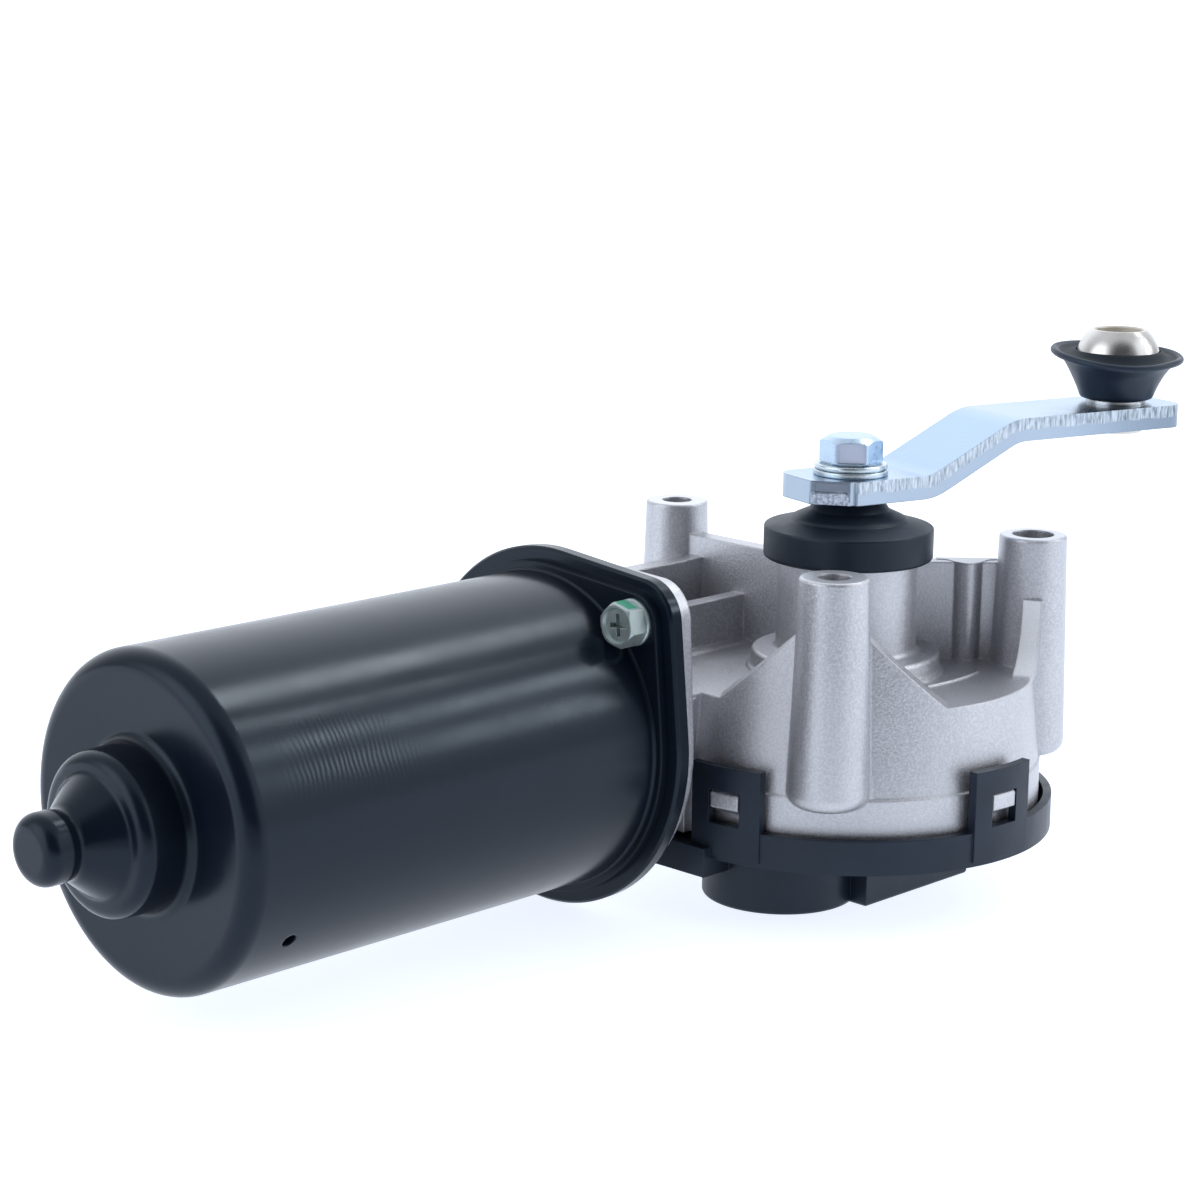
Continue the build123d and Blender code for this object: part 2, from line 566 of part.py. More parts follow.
with BuildPart() as gear_cover:
    with BuildSketch(up(RIM_BOTTOM)):
        Circle(RIM_R)
        with Locations((-38.5, 15.5)):
            Rectangle(17.0, 37.0)
    extrude(amount=2.5)
    with BuildSketch(up(RIM_BOTTOM + 2.5)):
        Circle(RIM_R)
        Circle(RIM_R - 1.8, mode=Mode.SUBTRACT)
        with Locations((-40.0, 22.5)):
            Rectangle(40.0, 41.0, mode=Mode.SUBTRACT)
    extrude(amount=RIM_TOP - RIM_BOTTOM - 2.5)
    # locating lip inside the housing wall
    with BuildSketch(up(RIM_BOTTOM + 2.5)):
        Circle(36.1)
        Circle(34.3, mode=Mode.SUBTRACT)
    extrude(amount=3.2)
    # standoffs for the switch board
    with BuildSketch(up(RIM_BOTTOM + 2.5)):
        with PolarLocations(27.0, 3, start_angle=30):
            Circle(2.6)
    extrude(amount=6.9)
    # block under the lead passage
    with BuildSketch(up(-27.7)):
        with Locations((-38.5, 15.5)):
            Rectangle(17.0, 37.0)
    extrude(amount=3.7)
    # connector: round potting dome and rectangular socket running towards +X
    with BuildSketch(up(-36.0)):
        with Locations((-23.0, -2.8)):
            Circle(16.2)
        with Locations((-1.0, -8.25)):
            Rectangle(34.0, 28.5)
    extrude(amount=12.5)
    fillet(gear_cover.faces().sort_by(Axis.Z)[0].edges(), 0.8)
    # clips standing up round the rim
    for clip in rim_clips:
        add(clip)
    # socket
    with BuildSketch(up(-34.2)):
        with Locations((8.0, -8.25)):
            Rectangle(20.0, 24.5)
    extrude(amount=8.4, mode=Mode.SUBTRACT)
finish("gear_cover", gear_cover)

with BuildPart() as cover_seal:
    with BuildSketch(up(RIM_BOTTOM + 2.5)):
        Circle(41.8)
        Circle(36.7, mode=Mode.SUBTRACT)
    extrude(amount=1.0)
finish("cover_seal", cover_seal)

with BuildPart() as socket_pins:
    for k in range(5):
        with BuildSketch(Plane(origin=(-2.0, -8.25 + (k - 2) * 4.4, AZ - 30.0), x_dir=(0, 1, 0), z_dir=(1, 0, 0))):
            Rectangle(2.3, 0.8)
        extrude(amount=12.0)
finish("socket_pins", socket_pins)

with BuildPart() as switch_board:
    with BuildSketch(up(-14.6)):
        Circle(32.0)
        Circle(9.0, mode=Mode.SUBTRACT)
    extrude(amount=1.6)
finish("switch_board", switch_board)

with BuildPart() as park_fingers:
    for tip, y in ((-14.6, -5.5), (-18.0, 0.0), (-21.0, 5.5)):
        with BuildSketch(Plane(origin=(0, y + 1.4, AZ), x_dir=(1, 0, 0), z_dir=(0, -1, 0))):
            with BuildLine():
                Polyline((tip - 10.5, -13.0), (tip - 5.4, -13.0), (tip + 0.1, -5.4), (tip + 2.4, -5.4), (tip + 2.4, -4.9), (tip - 0.2, -4.9),
                         (tip - 5.7, -12.5), (tip - 10.5, -12.5), close=True)
            make_face()
        extrude(amount=2.8)
finish("park_fingers", park_fingers)

# ---- armature ---------------------------------------------------------------------------------------
SHAFT_X0, SHAFT_X1 = X_F - 21.1, 25.0
THREAD_START = Helix(LEAD, LEAD, WORM_R, direction=(1, 0, 0)) @ 0
THREAD_PHASE = ((math.pi - math.atan2(THREAD_START.Z, THREAD_START.Y)) / (2 * math.pi)) % 1.0
THREAD_X0 = -4 * LEAD - LEAD * THREAD_PHASE
with BuildPart() as armature_shaft:
    with BuildSketch(MOTOR_PLANE):
        with BuildLine():
            Polyline((SHAFT_X0, 0), (SHAFT_X0, ROTOR_SHAFT_R - 0.6), (SHAFT_X0 + 0.6, ROTOR_SHAFT_R), (-15.2, ROTOR_SHAFT_R), (-14.6, WORM_R - 1.0),
                     (14.6, WORM_R - 1.0), (15.2, ROTOR_SHAFT_R), (SHAFT_X1 - 0.5, ROTOR_SHAFT_R), (SHAFT_X1, ROTOR_SHAFT_R - 0.5), (SHAFT_X1, 0), close=True)
        make_face()
    revolve(axis=MOTOR_AXIS)
    # right-hand single-start thread whose crest faces the wheel at x = 0
    with BuildLine() as thread:
        Helix(LEAD, 8 * LEAD, WORM_R, center=(THREAD_X0, YC, AZ), direction=(1, 0, 0))
    with BuildSketch(Plane(origin=thread.line @ 0, x_dir=Vector(0, THREAD_START.Y, THREAD_START.Z).normalized(), z_dir=thread.line % 0)):
        with BuildLine():
            Polyline((-1.3, -1.10), (0.9, -0.30), (0.9, 0.30), (-1.3, 1.10), close=True)
        make_face()
    sweep(path=thread.line, is_frenet=True)
finish("armature_shaft", armature_shaft)

SLOTS = 12
with BuildPart() as rotor_stack:
    with BuildSketch(across(-138.0)):
        Circle(ROTOR_R)
        Circle(ROTOR_SHAFT_R, mode=Mode.SUBTRACT)
        with PolarLocations(16.3, SLOTS):
            Rectangle(10.8, 5.6, mode=Mode.SUBTRACT)
        with PolarLocations(22.5, SLOTS):
            Rectangle(6.0, 2.2, mode=Mode.SUBTRACT)
    extrude(amount=46.0)
finish("rotor_stack", rotor_stack)

with BuildPart() as windings:
    with BuildSketch(across(-138.0)):
        with PolarLocations(16.3, SLOTS):
            Rectangle(10.4, 5.2)
    extrude(amount=46.0)
    with BuildSketch(across(-146.5)):
        Circle(22.6)
        Circle(9.4, mode=Mode.SUBTRACT)
    extrude(amount=8.5)
    with BuildSketch(across(-92.0)):
        Circle(22.6)
        Circle(9.4, mode=Mode.SUBTRACT)
    extrude(amount=8.5)
    fillet(windings.faces().sort_by(Axis.X)[0].edges() + windings.faces().sort_by(Axis.X)[-1].edges(), 3.0)
finish("windings", windings)

with BuildPart() as commutator_hub:
    with BuildSketch(across(-92.0)):
        Circle(6.5)
        Circle(ROTOR_SHAFT_R, mode=Mode.SUBTRACT)
    extrude(amount=30.0)
finish("commutator_hub", commutator_hub)

with BuildPart() as commutator:
    with BuildSketch(across(-83.2)):
        Circle(13.0)
        Circle(6.5, mode=Mode.SUBTRACT)
    extrude(amount=3.2)
    with BuildSketch(across(-80.0)):
        Circle(11.0)
        Circle(6.5, mode=Mode.SUBTRACT)
    extrude(amount=16.5)
    with BuildSketch(across(-83.3)):
        with PolarLocations(11.5, 24):
            Rectangle(3.6, 0.5)
    extrude(amount=20.0, mode=Mode.SUBTRACT)
finish("commutator", commutator)

with BuildPart() as bearing_inner:
    with BuildSketch(across(-48.0)):
        Circle(5.85)
        Circle(ROTOR_SHAFT_R, mode=Mode.SUBTRACT)
    extrude(amount=7.0)
finish("bearing_inner", bearing_inner)

# ---- worm wheel and output shaft ------------------------------------------------------------------------
R_TIP, R_ROOT = WHEEL_R + 0.8, WHEEL_R - 1.15
HALF_TIP, HALF_ROOT = 0.40, 1.10
TWIST = math.degrees(math.tan(math.atan(LEAD / (2 * math.pi * WORM_R))) / WHEEL_R)   # degrees per mm of face width


def wheel_outline(turn):
    """Toothed outline with a tooth gap centred at 90 degrees, then turned by an angle."""
    pts = []
    for k in range(TEETH):
        c = math.radians(90 + (k + 0.5) * 360 / TEETH + turn)
        for r, half in ((R_ROOT, -HALF_ROOT), (R_TIP, -HALF_TIP), (R_TIP, HALF_TIP), (R_ROOT, HALF_ROOT)):
            t = c + half / r
            pts.append((r * math.cos(t), r * math.sin(t)))
    return pts


with BuildPart() as worm_wheel:
    with BuildSketch(up(-WHEEL_W / 2)):
        with BuildLine():
            Polyline(*wheel_outline(-TWIST * WHEEL_W / 2), close=True)
        make_face()
    with BuildSketch(up(WHEEL_W / 2)):
        with BuildLine():
            Polyline(*wheel_outline(TWIST * WHEEL_W / 2), close=True)
        make_face()
    loft(ruled=True)
    with BuildSketch(up(-0.5)):
        Circle(21.8)
        Circle(12.6, mode=Mode.SUBTRACT)
    extrude(amount=5.0, mode=Mode.SUBTRACT)
    with BuildSketch(up(-0.5)):
        with PolarLocations(17.0, 6):
            Rectangle(9.8, 1.6)
    extrude(amount=4.0)
    with BuildSketch(up(-5.0)):
        RegularPolygon(9.6, 6)
    extrude(amount=10.0, mode=Mode.SUBTRACT)
finish("worm_wheel", worm_wheel)

with BuildPart() as drive_hub:
    with BuildSketch(up(-4.0)):
        RegularPolygon(9.6, 6)
        Circle(SHAFT_R, mode=Mode.SUBTRACT)
    extrude(amount=8.2)
finish("drive_hub", drive_hub)

with BuildPart() as thrust_washer:
    with BuildSketch(up(4.25)):
        Circle(11.5)
        Circle(SHAFT_R + 0.05, mode=Mode.SUBTRACT)
    extrude(amount=0.4)
finish("thrust_washer", thrust_washer)

with BuildPart() as output_shaft:
    with BuildSketch(SHAFT_PLANE):
        with BuildLine():
            Polyline((0, -4.6), (5.4, -4.6), (SHAFT_R, -4.0), (SHAFT_R, 37.5), (5.3, 37.5), (5.3, 38.5), (SHAFT_R, 38.5), (SHAFT_R, 45.5),
                     (5.0, 45.5), (5.0, 50.2), (4.05, 50.2), (4.05, 35.0), (0, 33.0), close=True)
        make_face()
    revolve(axis=SHAFT_AXIS)
finish("output_shaft", output_shaft)

with BuildPart() as park_disc:
    with BuildSketch(up(-4.5)):
        Circle(22.6)
        Circle(13.0, mode=Mode.SUBTRACT)
        with Locations((-12.0, 16.5)):
            Rectangle(9.0, 6.0, rotation=35, mode=Mode.SUBTRACT)
    extrude(amount=0.5)
finish("park_disc", park_disc)

with BuildPart() as shaft_circlip:
    with BuildSketch(up(37.55)):
        Circle(8.4)
        Circle(5.35, mode=Mode.SUBTRACT)
        with Locations((-7.0, 0)):
            Rectangle(6.0, 4.0, mode=Mode.SUBTRACT)
    extrude(amount=0.9)
finish("shaft_circlip", shaft_circlip)

with BuildPart() as slip_washer:
    with BuildSketch(up(36.65)):
        Circle(9.0)
        Circle(SHAFT_R + 0.05, mode=Mode.SUBTRACT)
    extrude(amount=0.8)
finish("slip_washer", slip_washer)

# ---- crank arm with its bolt and ball stud -----------------------------------------------------------------
ARM = math.radians(ARM_ANGLE)
ARM_FLAT = Plane(origin=(0, 0, AZ + 40.0), x_dir=(math.cos(ARM), math.sin(ARM), 0), z_dir=(0, 0, 1))
BX, BY = ARM_L * math.cos(ARM), ARM_L * math.sin(ARM)
H1, H2 = ARM_H1, ARM_H2
BOLT_FLAT = 220.0                        # direction of the bolt head's marked flat
BEND1, BEND2 = 14.0, 36.0                # bends on the top face, along the arm
MITRE = ARM_T * math.tan(math.atan2(H2 - H1, BEND2 - BEND1) / 2)

STEP_OUT = ARM + math.atan2(-6.2, -5.8)      # outward direction of the slanting facet
STEP_A, STEP_B = -9.1 + 0.4 * 0.683, -6.1 + 0.4 * 0.730
ARM_STEP = Plane(origin=(STEP_A * math.cos(ARM) - STEP_B * math.sin(ARM), STEP_A * math.sin(ARM) + STEP_B * math.cos(ARM), AZ + H1 - 1.4),
                 x_dir=(-math.sin(STEP_OUT), math.cos(STEP_OUT), 0), z_dir=(math.cos(STEP_OUT), math.sin(STEP_OUT), 0)).offset(1.0)

with BuildPart() as crank_arm:
    with BuildSketch(upright(0, 0, ARM_ANGLE)):
        with BuildLine() as top:
            FilletPolyline((-13.0, H1), (BEND1, H1), (BEND2, H2), (85.0, H2), radius=[9.0, 14.0])
        with BuildLine() as bottom:
            FilletPolyline((-13.0, H1 - ARM_T), (BEND1 + MITRE, H1 - ARM_T), (BEND2 + MITRE, H2 - ARM_T), (85.0, H2 - ARM_T), radius=[14.0, 9.0])
        with BuildLine():
            Line((-13.0, H1), (-13.0, H1 - ARM_T))
            Line((85.0, H2), (85.0, H2 - ARM_T))
        make_face()
    extrude(amount=15.0, both=True)
    w = ARM_W / 2
    with BuildSketch(ARM_FLAT) as arm_plan:
        with BuildLine():
            Polyline((-12.4, w), (-12.4, -3.0), (-6.2, -w + 1.0), (-5.2, -w + 0.9), (-5.0, -w), (83.4, -w),
                     (83.4, w - 7.0), (76.5, w), close=True)
        make_face()
        for corner, r in (((-12.4, w), 4.0), ((-12.4, -3.0), 0.8), ((83.4, -w), 4.0), ((83.4, w - 7.0), 3.0), ((76.5, w), 5.0)):
            fillet(arm_plan.vertices().sort_by_distance((*corner, 0))[0], radius=r)
    extrude(amount=40.0, mode=Mode.INTERSECT)
    with BuildSketch(ARM_FLAT):
        Circle(5.03)
        with Locations((ARM_L, 0)):
            Circle(4.8)
    extrude(amount=40.0, mode=Mode.SUBTRACT)
    # step where the blank was broken off its strip: the upper part of the slanting facet is set back
    with BuildSketch(ARM_STEP):
        Rectangle(7.0, 2.0)
    extrude(amount=1.0, both=True, mode=Mode.SUBTRACT)
finish("crank_arm", crank_arm)

with BuildPart() as flat_washer:
    with BuildSketch(up(H1)):
        Circle(7.9)
        Circle(4.3, mode=Mode.SUBTRACT)
    extrude(amount=1.2)
    fillet(flat_washer.edges().filter_by(GeomType.CIRCLE).group_by(SortBy.RADIUS)[-1], 0.3)
finish("flat_washer", flat_washer)

with BuildPart() as spring_washer:
    with BuildSketch(up(H1 + 1.2)):
        Circle(7.75)
        Circle(4.3, mode=Mode.SUBTRACT)
    extrude(amount=1.3)
    fillet(spring_washer.edges().filter_by(GeomType.CIRCLE).group_by(SortBy.RADIUS)[-1], 0.5)
finish("spring_washer", spring_washer)

with BuildPart() as crank_bolt:
    with BuildSketch(up(H1 + 2.5)):
        RegularPolygon(5.9, 6, major_radius=False, rotation=10)
    extrude(amount=5.8)
    with BuildSketch(SHAFT_PLANE):
        with BuildLine():
            Polyline((0, H1 - 1), (6.2, H1 + 2.5), (6.7, H1 + 2.9), (6.7, H1 + 7.0), (4.9, H1 + 8.15), (4.4, H1 + 8.3), (0, H1 + 8.3), close=True)
        make_face()
    revolve(axis=SHAFT_AXIS, mode=Mode.INTERSECT)
    with BuildSketch(up(37.5)):
        Circle(4.0)
    extrude(amount=H1 + 2.5 - 37.5)
    # shallow pressed recess on the flat that faces the posts
    a = math.radians(BOLT_FLAT)
    with BuildSketch(Plane(origin=(5.45 * math.cos(a), 5.45 * math.sin(a), AZ + H1 + 5.1), x_dir=(-math.sin(a), math.cos(a), 0),
                           z_dir=(math.cos(a), math.sin(a), 0))):
        Rectangle(5.6, 4.2)
    extrude(amount=1.0, mode=Mode.SUBTRACT)
finish("crank_bolt", crank_bolt)

with BuildPart() as ball_stud:
    with BuildSketch(upright(BX, BY)):
        with BuildLine():
            Line((0, H2 - ARM_T - 1.3), (6.0, H2 - ARM_T - 1.3))
            Line((6.0, H2 - ARM_T - 1.3), (6.4, H2 - ARM_T))
            Line((6.4, H2 - ARM_T), (4.8, H2 - ARM_T))
            Line((4.8, H2 - ARM_T), (4.8, H2))
            Line((4.8, H2), (6.6, H2))
            Line((6.6, H2), (6.6, H2 + 0.8))
            Line((6.6, H2 + 0.8), (6.0, H2 + 0.95))
            z_low = BALL_H - math.sqrt(BALL_R ** 2 - 6.0 ** 2)
            z_top = BALL_H + math.sqrt(BALL_R ** 2 - 6.1 ** 2)
            Line((6.0, H2 + 0.95), (6.0, z_low))
            ThreePointArc((6.0, z_low), (BALL_R, BALL_H), (6.1, z_top))
            Line((6.1, z_top), (5.5, z_top))
            Line((5.5, z_top), (5.2, z_top - 0.3))
            Line((5.2, z_top - 0.3), (5.2, z_top - 7.0))
            Line((5.2, z_top - 7.0), (0, z_top - 9.5))
            Line((0, z_top - 9.5), (0, H2 - ARM_T - 1.3))
        make_face()
    revolve(axis=Axis((BX, BY, AZ), (0, 0, 1)))
finish("ball_stud", ball_stud)

with BuildPart() as ball_boot:
    with BuildSketch(upright(BX, BY)):
        with BuildLine():
            Spline((7.3, H2 + 1.0), (8.5, H2 + 2.6), (9.4, H2 + 4.6), (10.6, H2 + 6.8), (12.3, H2 + 8.7), (14.9, H2 + 10.4))
            Line((14.9, H2 + 10.4), (14.2, H2 + 11.4))
            Spline((14.2, H2 + 11.4), (11.7, H2 + 9.8), (10.3, H2 + 8.5), (9.6, H2 + 7.0), (8.5, H2 + 4.8), (7.5, H2 + 2.9), (6.5, H2 + 1.6))
            Line((6.5, H2 + 1.6), (6.3, H2 + 1.0))
            Line((6.3, H2 + 1.0), (7.3, H2 + 1.0))
        make_face()
    revolve(axis=Axis((BX, BY, AZ), (0, 0, 1)))
finish("ball_boot", ball_boot)
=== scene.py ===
import bpy, bmesh, json, math
from mathutils import Matrix, Vector, noise


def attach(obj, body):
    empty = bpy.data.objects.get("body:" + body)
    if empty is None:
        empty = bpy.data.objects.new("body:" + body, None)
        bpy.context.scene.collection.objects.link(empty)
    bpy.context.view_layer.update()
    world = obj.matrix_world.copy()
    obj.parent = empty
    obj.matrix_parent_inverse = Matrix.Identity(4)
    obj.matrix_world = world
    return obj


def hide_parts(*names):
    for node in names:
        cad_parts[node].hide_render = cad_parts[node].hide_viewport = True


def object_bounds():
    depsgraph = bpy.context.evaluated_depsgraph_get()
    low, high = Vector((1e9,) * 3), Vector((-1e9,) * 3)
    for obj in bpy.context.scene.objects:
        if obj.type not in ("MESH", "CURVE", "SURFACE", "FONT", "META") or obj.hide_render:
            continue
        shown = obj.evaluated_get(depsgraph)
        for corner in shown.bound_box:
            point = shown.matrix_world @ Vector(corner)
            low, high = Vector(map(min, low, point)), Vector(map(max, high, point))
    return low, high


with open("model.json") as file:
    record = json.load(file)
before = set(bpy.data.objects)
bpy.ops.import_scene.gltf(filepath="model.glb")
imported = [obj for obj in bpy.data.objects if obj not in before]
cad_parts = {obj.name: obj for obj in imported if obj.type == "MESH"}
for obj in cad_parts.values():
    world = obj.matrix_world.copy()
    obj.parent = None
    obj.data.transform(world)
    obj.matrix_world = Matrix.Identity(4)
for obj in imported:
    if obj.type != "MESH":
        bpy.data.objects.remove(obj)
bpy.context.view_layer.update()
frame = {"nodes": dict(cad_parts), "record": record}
nodes = frame["nodes"]

AZ = -0.0366            # motor axis height
YC = 0.0316             # motor axis y
scene = bpy.context.scene

# ---------------------------------------------------------------- node helpers


class Mat:
    """A node material with short helpers. Coordinates are the object's own, in metres."""

    def __init__(self, name):
        self.m = bpy.data.materials.new(name)
        self.m.use_nodes = True
        self.t = self.m.node_tree
        self.t.nodes.clear()
        self.out = self.t.nodes.new("ShaderNodeOutputMaterial")
        self.b = self.t.nodes.new("ShaderNodeBsdfPrincipled")
        self.t.links.new(self.b.outputs[0], self.out.inputs["Surface"])
        self.co = self.t.nodes.new("ShaderNodeTexCoord").outputs["Object"]
        self.geo = self.t.nodes.new("ShaderNodeNewGeometry")

    def link(self, a, b):
        self.t.links.new(a, b)

    def set(self, **kw):
        names = dict(color="Base Color", metallic="Metallic", rough="Roughness", ior="IOR", coat="Coat Weight",
                     coat_rough="Coat Roughness", spec="Specular IOR Level", sheen="Sheen Weight", aniso="Anisotropic")
        for k, v in kw.items():
            s = self.b.inputs[names[k]]
            if isinstance(v, bpy.types.NodeSocket):
                self.link(v, s)
            elif k == "color":
                s.default_value = (*v, 1)
            else:
                s.default_value = v

    def put(self, socket, v):
        if isinstance(v, bpy.types.NodeSocket):
            self.link(v, socket)
        elif isinstance(v, (tuple, list)) and len(v) == 3 and len(socket.default_value) == 4:
            socket.default_value = (*v, 1)
        else:
            socket.default_value = v

    def math(self, op, a, b=0.0, c=None, clamp=False):
        n = self.t.nodes.new("ShaderNodeMath")
        n.operation = op
        n.use_clamp = clamp
        self.put(n.inputs[0], a)
        self.put(n.inputs[1], b)
        if c is not None:
            self.put(n.inputs[2], c)
        return n.outputs[0]

    def scaled(self, sx, sy, sz, coords=None, rot=(0, 0, 0), loc=(0, 0, 0)):
        n = self.t.nodes.new("ShaderNodeMapping")
        n.inputs["Scale"].default_value = (sx, sy, sz)
        n.inputs["Rotation"].default_value = rot
        n.inputs["Location"].default_value = loc
        self.link(coords or self.co, n.inputs["Vector"])
        return n.outputs[0]

    def noise(self, scale, detail=2.0, rough=0.5, distort=0.0, coords=None):
        n = self.t.nodes.new("ShaderNodeTexNoise")
        n.inputs["Scale"].default_value = scale
        n.inputs["Detail"].default_value = detail
        n.inputs["Roughness"].default_value = rough
        n.inputs["Distortion"].default_value = distort
        self.link(coords or self.co, n.inputs["Vector"])
        return n.outputs["Fac"]

    def voronoi(self, scale, coords=None, feature="F1"):
        n = self.t.nodes.new("ShaderNodeTexVoronoi")
        n.feature = feature
        n.inputs["Scale"].default_value = scale
        self.link(coords or self.co, n.inputs["Vector"])
        return n.outputs["Distance"]

    def ramp(self, fac, *stops):
        n = self.t.nodes.new("ShaderNodeValToRGB")
        r = n.color_ramp
        while len(r.elements) < len(stops):
            r.elements.new(0.5)
        for e, (p, c) in zip(r.elements, stops):
            e.position = p
            e.color = (*c, 1) if isinstance(c, (tuple, list)) else (c, c, c, 1)
        self.link(fac, n.inputs["Fac"])
        return n.outputs["Color"]

    def span(self, v, a, b, lo=0.0, hi=1.0, smooth=True):
        n = self.t.nodes.new("ShaderNodeMapRange")
        n.interpolation_type = "SMOOTHSTEP" if smooth else "LINEAR"
        n.inputs["From Min"].default_value = a
        n.inputs["From Max"].default_value = b
        n.inputs["To Min"].default_value = lo
        n.inputs["To Max"].default_value = hi
        self.link(v, n.inputs["Value"])
        return n.outputs["Result"]

    def mix(self, fac, a, b):
        n = self.t.nodes.new("ShaderNodeMix")
        n.data_type = "RGBA"
        self.put(n.inputs["Factor"], fac)
        self.put(n.inputs["A"], a) if False else None
        for s, v in ((n.inputs[6], a), (n.inputs[7], b)):
            if isinstance(v, bpy.types.NodeSocket):
                self.link(v, s)
            else:
                s.default_value = (*v, 1)
        return n.outputs[2]

    def xyz(self, v=None):
        n = self.t.nodes.new("ShaderNodeSeparateXYZ")
        self.link(v or self.co, n.inputs[0])
        return n.outputs

    def normal(self):
        return self.xyz(self.geo.outputs["True Normal"])

    def bump(self, layers, round_edges=0.0):
        """layers are (height socket, depth in metres); round_edges softens the CAD's sharp edges."""
        last = None
        if round_edges:
            n = self.t.nodes.new("ShaderNodeBevel")
            n.samples = 4
            n.inputs["Radius"].default_value = round_edges
            last = n.outputs[0]
        for h, depth in layers:
            n = self.t.nodes.new("ShaderNodeBump")
            n.inputs["Strength"].default_value = 1.0
            n.inputs["Distance"].default_value = depth
            self.link(h, n.inputs["Height"])
            if last is not None:
                self.link(last, n.inputs["Normal"])
            last = n.outputs[0]
        if last is not None:
            self.link(last, self.b.inputs["Normal"])


# ---------------------------------------------------------------- materials


def black_paint(name, ripple=False):
    m = Mat(name)
    cloud = m.noise(35, 3, 0.6)
    fine = m.noise(900, 3, 0.55)
    m.set(color=m.ramp(cloud, (0.3, (0.0038, 0.0062, 0.0120)), (0.7, (0.0052, 0.0082, 0.0150))),
          rough=m.span(m.noise(60, 4, 0.6), 0.25, 0.75, 0.19, 0.25), spec=0.27)
    m.b.inputs["Specular Tint"].default_value = (0.70, 0.86, 1.0, 1)
    layers = [(fine, 0.000005), (m.noise(160, 2, 0.5), 0.000022)]
    if ripple:
        x, y, z = m.xyz()
        # shallow drawing wrinkles, running round the barrel in patches
        warp = m.noise(70, 2, 0.5)
        w = m.math("SINE", m.math("ADD", m.math("MULTIPLY", x, 5200.0), m.math("MULTIPLY", warp, 26.0)))
        patch = m.span(m.noise(26, 1.5, 0.5, coords=m.scaled(0.8, 1.3, 1.3)), 0.46, 0.62)
        patch = m.math("MULTIPLY", patch, m.span(x, -0.158, -0.148))
        patch = m.math("MULTIPLY", patch, m.span(x, -0.085, -0.125))
        patch = m.math("MULTIPLY", patch, m.span(y, 0.012, 0.004))
        patch = m.math("MULTIPLY", patch, m.span(z, AZ - 0.004, AZ + 0.003))
        layers.append((m.math("MULTIPLY", w, patch), 0.000009))
    m.bump(layers, 0.0006 if ripple else 0.0004)
    return m.m


def cast_alloy():
    m = Mat("cast_alloy")
    x, y, z = m.xyz()
    nx, ny, nz = m.normal()
    cloud = m.noise(45, 4, 0.6)
    grain = m.noise(2000, 3, 0.6)
    speck = m.noise(3200, 2, 0.5)
    flow = m.noise(160, 3, 0.55)
    base = m.ramp(cloud, (0.25, (0.42, 0.42, 0.445)), (0.75, (0.50, 0.50, 0.525)))
    base = m.mix(m.span(grain, 0.38, 0.66, 0.0, 0.60), base, (0.66, 0.66, 0.68))
    # machined faces: the post tops and the bores' mouths
    top = m.math("MULTIPLY", m.span(z, -0.0004, -0.0002), m.span(nz, 0.9, 0.97))
    base = m.mix(top, base, m.ramp(speck, (0.3, (0.56, 0.56, 0.58)), (0.7, (0.64, 0.64, 0.66))))
    rough = m.math("ADD", m.math("MULTIPLY", m.span(grain, 0.3, 0.7, 0.34, 0.48), m.math("SUBTRACT", 1.0, top)), m.math("MULTIPLY", top, 0.30))
    # the right web's end is painted lighter and duller, with less metal, than the rest of the casting
    wc, ws = math.cos(math.radians(25.75)), math.sin(math.radians(25.75))
    dx, dy = m.math("SUBTRACT", x, 0.01723), m.math("ADD", y, 0.03571)
    run = m.math("ADD", m.math("MULTIPLY", dx, wc), m.math("MULTIPLY", dy, ws))
    side = m.math("SUBTRACT", m.math("MULTIPLY", dy, wc), m.math("MULTIPLY", dx, ws))
    bright_web_end = m.math("MULTIPLY", m.span(run, 0.01156, 0.01150), m.span(run, 0.0012, 0.0020))
    bright_web_end = m.math("MULTIPLY", bright_web_end, m.math("MULTIPLY", m.span(side, -0.0001, 0.0001), m.span(side, 0.0040, 0.0038)))
    bright_web_end = m.math("MULTIPLY", bright_web_end, m.span(m.math("ADD", m.math("MULTIPLY", nx, wc), m.math("MULTIPLY", ny, ws)), -0.30, -0.45))
    bright_web_end = m.math("MULTIPLY", bright_web_end, m.span(z, AZ + 0.0090, AZ + 0.0096))
    base = m.mix(bright_web_end, base, m.ramp(speck, (0.35, (0.82, 0.82, 0.84)), (0.65, (0.92, 0.92, 0.94))))
    rough = m.math("ADD", rough, m.math("MULTIPLY", bright_web_end, 0.15))
    m.set(color=base, metallic=m.span(bright_web_end, 0.0, 1.0, 0.82, 0.15, smooth=False), rough=rough)
    keep = m.math("SUBTRACT", 1.0, top)
    m.bump([(m.math("MULTIPLY", grain, keep), 0.00006), (m.math("MULTIPLY", flow, keep), 0.00005), (m.math("MULTIPLY", speck, keep), 0.00002)], 0.0006)
    return m.m


